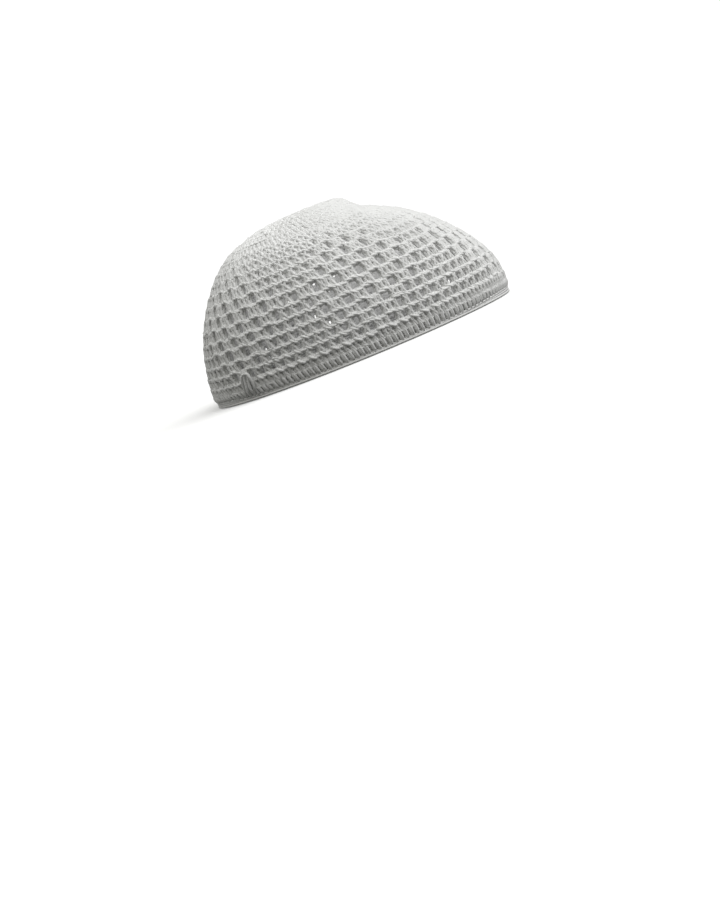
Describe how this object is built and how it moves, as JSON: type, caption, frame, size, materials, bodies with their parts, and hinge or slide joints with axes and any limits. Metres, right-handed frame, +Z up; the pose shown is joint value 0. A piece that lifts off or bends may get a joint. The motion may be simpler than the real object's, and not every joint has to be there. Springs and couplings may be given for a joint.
{
  "type": "chechia",
  "caption": "Close-fitting crocheted skullcap with a flat solid crown, an openwork wall in lozenges and a plain rim band.",
  "frame": {"origin": "middle of the rim's flat lower edge, on the surface that the cap rests on", "axes": "+X towards the forehead, +Y towards the wearer's left, +Z up out of the crown"},
  "size_m": [0.1994, 0.1584, 0.0953],
  "materials": {
    "cotton_yarn": "matt white mercerised cotton, crocheted"
  },
  "bodies": {
    "root": {"crochet_cap": "cotton_yarn"}
  },
  "joints": []
}
